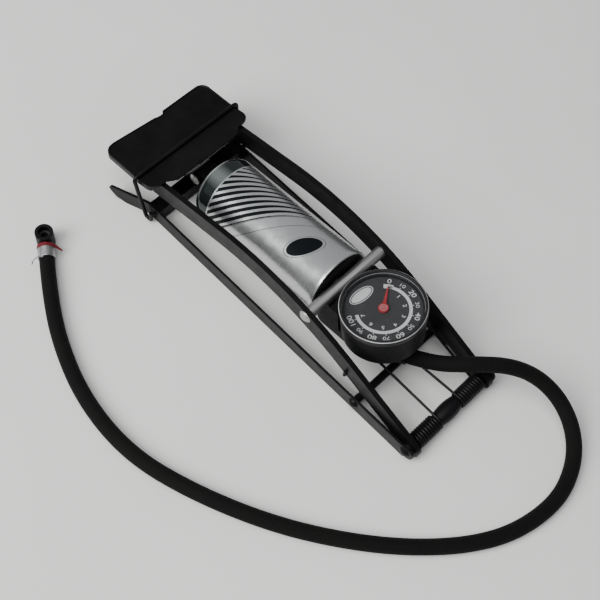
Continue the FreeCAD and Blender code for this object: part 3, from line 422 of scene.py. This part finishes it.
def smooth_by_angle(mesh, degrees):
    """Smooth shading, with edges sharper than the angle kept crisp."""
    shape = bmesh.new()
    shape.from_mesh(mesh)
    for face in shape.faces:
        face.smooth = True
    for edge in shape.edges:
        rim = len(edge.link_faces) != 2
        edge.smooth = not (rim or edge.calc_face_angle(0) > math.radians(degrees))
    shape.to_mesh(mesh)
    shape.free()


def belong(obj, node, material=None):
    """Give a piece the body of a CAD node and, unless it has its own, the material named by the node's slot.
    """
    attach(obj, BODY[node])
    obj.data.materials.clear()
    obj.data.materials.append(material or MATERIALS[SLOTS[node]])
    return obj


CORNER_ANGLE = 35.0           # degrees; a sharper edge is eased


def dressed(node):
    """Copy of a CAD node with its corners eased, shown in place of the node."""
    mesh = frame["nodes"][node].data.copy()
    mesh.name = node + "_skin"
    shape = bmesh.new()
    shape.from_mesh(mesh)
    bmesh.ops.remove_doubles(shape, verts=shape.verts, dist=1e-6)
    bmesh.ops.dissolve_limit(shape, angle_limit=math.radians(0.6), verts=shape.verts, edges=shape.edges)
    shape.to_mesh(mesh)
    shape.free()
    smooth_by_angle(mesh, CORNER_ANGLE)
    obj = add_object(node + "_skin", mesh)
    edge = obj.modifiers.new("eased", "BEVEL")
    edge.width = 0.25 * MM
    edge.segments = 2
    edge.limit_method = "ANGLE"
    edge.angle_limit = math.radians(CORNER_ANGLE)
    edge.harden_normals = True
    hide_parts(node)
    return belong(obj, node, MATERIALS["needle_red"] if node == "gauge_needle" else None)


for node in SLOTS:
    if node not in ("hose", "spring_left", "spring_right"):
        dressed(node)


def pedal_lip():
    """Low rolled lip along the tread's front edge and down its two sides."""
    tread_fall, tread_length = math.radians(7.0), 34.6
    fold_x, fold_z, fall = 110.3, 42.3, math.tan(tread_fall)
    front = fold_x + tread_length * math.cos(tread_fall)
    edge = [(fold_x + 3.0, 43.1), (front - 6.5, 43.1), (front - 1.6, 40.9), (front - 0.5, 36.5),
            (front - 4.1, 1.6), (front - 5.2, -1.0), (front - 5.3, -5.4), (front - 3.1, -7.0),
            (front - 3.1, -37.0), (front - 4.6, -41.4), (front - 9.5, -43.1), (fold_x + 3.0, -43.1)]
    line = [Vector((x * MM, y * MM, (fold_z - (x - fold_x) * fall - 0.1) * MM)) for x, y in edge]
    mesh = tube_mesh("pedal_lip", rounded_line(line, 2.0 * MM), 0.75 * MM, around=12)
    obj = add_object("pedal_lip", mesh)
    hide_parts("pedal")
    belong(obj, "pedal")


# ---------------------------------------------------------------- marks on the dial

FACE_Z = -4.94 * MM           # height of the print, in the gauge's own frame
ZERO_AT, SWEEP = math.radians(-57.0), math.radians(-236.0)
ARC, ZERO_BAR, TICK = (16.1 * MM, 18.2 * MM), (16.0 * MM, 19.2 * MM), (18.4 * MM, 19.4 * MM)    # radii
ARC_OVERRUN, BAR_HALF, TICK_HALF = 0.17, 0.17, 0.012              # angles in radians
INNER_UNIT = 14.5             # one unit of the inner scale, on the outer scale of 0 to 100
FIGURE_STRETCH = 1.3


def flat(shape, points, height=FACE_Z):
    """One flat face, from points in the gauge's own plane."""
    shape.faces.new([shape.verts.new(GAUGE @ Vector((x, y, height))) for x, y in points])


def sector(shape, inner, outer, start, end, steps, height=FACE_Z):
    """Part of a ring, between two angles."""
    for k in range(steps):
        a, b = (start + (end - start) * t / steps for t in (k, k + 1))
        flat(shape, [(inner * math.cos(a), inner * math.sin(a)), (outer * math.cos(a), outer * math.sin(a)),
                     (outer * math.cos(b), outer * math.sin(b)), (inner * math.cos(b), inner * math.sin(b))],
             height)


def figure(shape, text, radius, angle, height, bold):
    """A number on the dial, whose top points away from the middle."""
    data = bpy.data.curves.new("figure", "FONT")
    data.body = text
    data.size = height
    data.offset = bold
    data.align_x, data.align_y = "CENTER", "CENTER"
    holder = bpy.data.objects.new("figure", data)
    bpy.context.scene.collection.objects.link(holder)
    bpy.context.view_layer.update()
    mesh = bpy.data.meshes.new_from_object(holder)
    up = Vector((math.cos(angle), math.sin(angle), 0))
    right = Vector((math.sin(angle), -math.cos(angle), 0))
    for vertex in mesh.vertices:
        spot = up * (radius + vertex.co.y) + right * vertex.co.x * FIGURE_STRETCH
        vertex.co = GAUGE @ Vector((spot.x, spot.y, FACE_Z))
    shape.from_mesh(mesh)
    bpy.data.objects.remove(holder)
    bpy.data.meshes.remove(mesh)


def oval_points(long, short):
    """Closed line of 49 points round the blank plate, from its half length and half width in mm."""
    middle, turn = Vector((17.4 * MM, 1.6 * MM)), math.radians(-94.0)
    rim = [(long * MM * math.cos(t), short * MM * math.sin(t)) for t in (math.pi * k / 24 for k in range(49))]
    return [(middle.x + a * math.cos(turn) - b * math.sin(turn),
             middle.y + a * math.sin(turn) + b * math.cos(turn)) for a, b in rim]


def dial_marks():
    """Scale arc, ticks, plain numbers and a blank oval plate, printed on the dial."""
    shape = bmesh.new()
    sector(shape, *ARC, ZERO_AT, ZERO_AT + SWEEP - ARC_OVERRUN, 80)
    sector(shape, *ZERO_BAR, ZERO_AT + BAR_HALF, ZERO_AT - BAR_HALF, 6)
    for k in range(11):
        at = ZERO_AT + SWEEP * k / 10
        sector(shape, *TICK, at + TICK_HALF, at - TICK_HALF, 1)
        if k % 2 == 0:
            figure(shape, str(10 * k), 21.6 * MM, at, 4.5 * MM, 0.00005)
        else:
            figure(shape, str(10 * k), 21.3 * MM, at, 3.6 * MM, 0.0)
    for k in range(1, 8):
        figure(shape, str(k), 13.4 * MM, ZERO_AT + SWEEP * k * INNER_UNIT / 100, 3.4 * MM, 0.00003)
    plate, inside, outside = (oval_points(*size) for size in ((7.9, 3.3), (8.6, 3.95), (9.2, 4.5)))
    flat(shape, plate[:-1])
    for k in range(48):
        flat(shape, [inside[k], outside[k], outside[k + 1], inside[k + 1]])
    marks = add_object("dial_marks", finished("dial_marks", shape))
    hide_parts("gauge_dial")
    belong(marks, "gauge_dial", MATERIALS["dial_print"])


def hub_rings():
    """Two fine pale rings turned into the needle's hub."""
    inverse = GAUGE.inverted()
    top = max((inverse @ v.co).z for v in frame["nodes"]["gauge_needle"].data.vertices) + 0.03 * MM
    shape = bmesh.new()
    half_width = 0.09 * MM
    for radius in (1.0 * MM, 2.2 * MM):
        sector(shape, radius - half_width, radius + half_width, 2 * math.pi, 0.0, 32, top)
    rings = add_object("hub_rings", finished("hub_rings", shape))
    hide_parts("gauge_needle")
    belong(rings, "gauge_needle", MATERIALS["dial_print"])


dial_marks()
hub_rings()


# ---------------------------------------------------------------- hose

HOSE_ROUTE = [
    (-97.2, -3.1, 23.9), (-113.3, -9.7, 27.3), (-130.1, -23.9, 33.0), (-147.4, -41.9, 32.6),
    (-164.4, -54.2, 24.1), (-184.6, -57.1, 15.6), (-204.3, -49.7, 8.9), (-218.8, -33.4, 5.3),
    (-226.5, -8.0, 5.3), (-221.5, 25.0, 5.3), (-207.0, 53.0, 5.3), (-182.0, 82.0, 5.3),
    (-150.0, 109.0, 5.3), (-111.0, 134.0, 5.3), (-63.0, 155.0, 5.3), (-19.0, 166.5, 5.3),
    (27.0, 163.5, 5.3), (69.0, 149.0, 5.3), (102.0, 130.0, 6.2), (121.0, 116.6, 6.2),
]


def spline_points(route, name, steps=14):
    """Points of a smooth curve along a route, close together, in metres."""
    data = bpy.data.curves.new(name, "CURVE")
    data.dimensions = "3D"
    data.resolution_u = steps
    spline = data.splines.new("NURBS")
    spline.points.add(len(route) - 1)
    for point, (x, y, z) in zip(spline.points, route):
        point.co = (x * MM, y * MM, z * MM, 1.0)
    spline.order_u = 3
    spline.use_endpoint_u = True
    holder = bpy.data.objects.new(name, data)
    bpy.context.scene.collection.objects.link(holder)
    bpy.context.view_layer.update()
    mesh = bpy.data.meshes.new_from_object(holder)
    points = [v.co.copy() for v in mesh.vertices]
    bpy.data.objects.remove(holder)
    bpy.data.meshes.remove(mesh)
    return points


def carried_frames(points):
    """Side vectors along a path that turn as little as possible."""
    frames = []
    side = None
    for i, point in enumerate(points):
        ahead = points[min(i + 1, len(points) - 1)] - points[max(i - 1, 0)]
        ahead.normalize()
        if side is None:
            side = Vector((0, 0, 1)).cross(ahead).normalized()
        side = (side - ahead * side.dot(ahead)).normalized()
        frames.append((side.copy(), ahead.cross(side).normalized()))
    return frames


def running_lengths(points, start=0.0):
    """Distance of each point along the line, from a start."""
    lengths = [start]
    for a, b in zip(points, points[1:]):
        lengths.append(lengths[-1] + (b - a).length)
    return lengths


def tube_mesh(name, points, radius, around=24, start_v=0.0, frames=None):
    """Closed round tube along points, with u round it and v along it in metres."""
    frames = frames or carried_frames(points)
    shape = bmesh.new()
    uv = shape.loops.layers.uv.new("UVMap")
    rings = []
    distances = running_lengths(points, start_v)
    for point, distance, (side, up) in zip(points, distances, frames):
        r = radius(distance) if callable(radius) else radius
        rings.append([shape.verts.new(point + (side * math.cos(t) + up * math.sin(t)) * r)
                      for t in (2 * math.pi * k / around for k in range(around))])
    for i, (low, high) in enumerate(zip(rings, rings[1:])):
        for k in range(around):
            face = shape.faces.new((low[k], low[(k + 1) % around], high[(k + 1) % around], high[k]))
            face.smooth = True
            for loop, (u, v) in zip(face.loops, ((k, i), (k + 1, i), (k + 1, i + 1), (k, i + 1))):
                loop[uv].uv = (u / around, distances[v])
    for cap in (list(reversed(rings[0])), rings[-1]):
        for edge in shape.faces.new(cap).edges:
            edge.smooth = False
    return finished(name, shape)


HOSE_R = 5.2 * MM
NECK_LENGTH = 22 * MM
path = spline_points(HOSE_ROUTE, "hose_line")
lengths = running_lengths(path)
sides = carried_frames(path)
neck_end = next(i for i, at in enumerate(lengths) if at > NECK_LENGTH)
floor_start = next(i for i, point in enumerate(path) if point.x < -205 * MM and point.y > -30 * MM)


def hose_run(name, first, last):
    """Part of the hose, between two points of its line."""
    mesh = tube_mesh(name, path[first:last + 1], HOSE_R, start_v=lengths[first], frames=sides[first:last + 1])
    obj = add_object(name, mesh)
    obj.data.materials.append(MATERIALS["hose_rubber"])
    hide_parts("hose")
    return obj


hose_neck = hose_run("hose_neck", 0, neck_end)
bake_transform(hose_neck)
hose_rise = hose_run("hose_rise", neck_end, floor_start)
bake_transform(hose_rise)
hose_main = hose_run("hose_main", floor_start, len(path) - 1)
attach(hose_main, "base")


# ---------------------------------------------------------------- springs

def wire_object(name, points, radius, node, body):
    """Part of a spring's wire, on the body that it moves with."""
    obj = add_object(name, tube_mesh(name, points, radius, around=12))
    obj.data.materials.append(MATERIALS["spring_steel"])
    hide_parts(node)
    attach(obj, body)
    return obj


def rounded_line(points, radius, steps=6):
    """Points of a bent wire: straight runs with rounded corners."""
    line = [points[0]]
    for before, here, after in zip(points, points[1:], points[2:]):
        a, b = (before - here).normalized(), (after - here).normalized()
        reach = min(radius, (before - here).length * 0.45, (after - here).length * 0.45)
        start, end = here + a * reach, here + b * reach
        for k in range(steps + 1):
            t = k / steps
            line.append(start * (1 - t) ** 2 + here * 2 * t * (1 - t) + end * t * t)
    line.append(points[-1])
    return line


def spring(side, word):
    """Coil with its inner leg on the frame, and its hooked leg that goes with the treadle arm."""
    node = "spring_" + word
    axle = Vector(JOINT["arm_lift"]["pos_m"])
    ring, wire, pitch, turns, inner = 5.25 * MM, 0.95 * MM, 2.15 * MM, 9.5, 10.4 * MM
    coil = []
    count = int(turns * 24)
    for k in range(count + 1):
        turn = 2 * math.pi * turns * k / count
        coil.append(axle + Vector((-ring * math.sin(turn), side * (inner + pitch * turns * k / count),
                                   ring * math.cos(turn))))
    on_crossbar = Vector((-84.09 * MM, side * (inner - 1.785 * MM), 11.408 * MM))
    wire_object(f"spring_coil_{word}", [on_crossbar] + coil, wire, node, "base")
    hook_x, hook_y, hook_z, hook_rise = -79 * MM, side * 37.6 * MM, 24.2 * MM, 7.5 * MM
    leg = [coil[-1], Vector((hook_x, coil[-1].y, hook_z)), Vector((hook_x, hook_y, hook_z)),
           Vector((hook_x, hook_y, hook_z + hook_rise))]
    wire_object(f"spring_leg_{word}", rounded_line(leg, 2.2 * MM), wire, node, "arm")


spring(1, "left")
spring(-1, "right")
pedal_lip()


# ---------------------------------------------------------------- loose ends at the valve head

def loose_end(name, node, points, radius):
    """Short tail of a binding, on the piece it is tied round."""
    line = rounded_line([Vector(point) * MM for point in points], 2.5 * MM)
    obj = add_object(name, tube_mesh(name, line, radius, around=10))
    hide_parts(node)
    return belong(obj, node)


band_tail = loose_end("band_tail", "hose_band",
                      [(127.6, 111.0, 11.6), (124.6, 107.0, 9.4), (122.2, 106.0, 7.0), (118.8, 105.0, 6.4)],
                      lambda distance: 1.45 * MM - 0.07 * distance)
wire_tail = loose_end("wire_tail", "ferrule",
                      [(121.9, 118.4, 10.5), (123.8, 122.0, 11.4), (124.6, 125.2, 10.4), (123.4, 127.4, 8.4)],
                      0.65 * MM)


# ---------------------------------------------------------------- stage and light

def add_stage():
    """Wide pale floor, just under the pump."""
    shape = bmesh.new()
    bmesh.ops.create_grid(shape, x_segments=1, y_segments=1, size=3.0)
    floor = add_object("floor", finished("floor", shape))
    floor.location.z = -0.0001
    material, tree, shader = new_material("floor")
    patches = noise(tree, position(tree), 3.0, 4.0, 0.55)
    pale = ramp(tree, patches, (0.63, 0.63, 0.615), (0.68, 0.68, 0.665), (0.3, 0.7))
    link(tree, pale, shader.inputs["Base Color"])
    shader.inputs["Roughness"].default_value = 0.85
    floor.data.materials.append(material)


def add_area(name, place, aim, size, power):
    """Round soft light, aimed at a point."""
    data = bpy.data.lights.new(name, "AREA")
    data.shape = "DISK"
    data.size = size
    data.energy = power
    light = bpy.data.objects.new(name, data)
    bpy.context.scene.collection.objects.link(light)
    light.location = place
    light.rotation_euler = (Vector(aim) - Vector(place)).to_track_quat("-Z", "Y").to_euler()


add_stage()
add_area("key", (0.45, 1.4, 1.35), (0, 0, 0), 1.3, 46.0)
add_area("top", (0.1, 0.55, 2.1), (0, 0, 0), 1.8, 36.0)
world = bpy.data.worlds.new("world")
bpy.context.scene.world = world
world.use_nodes = True
world.node_tree.nodes["Background"].inputs["Color"].default_value = (0.95, 0.97, 1.0, 1.0)
world.node_tree.nodes["Background"].inputs["Strength"].default_value = 0.30
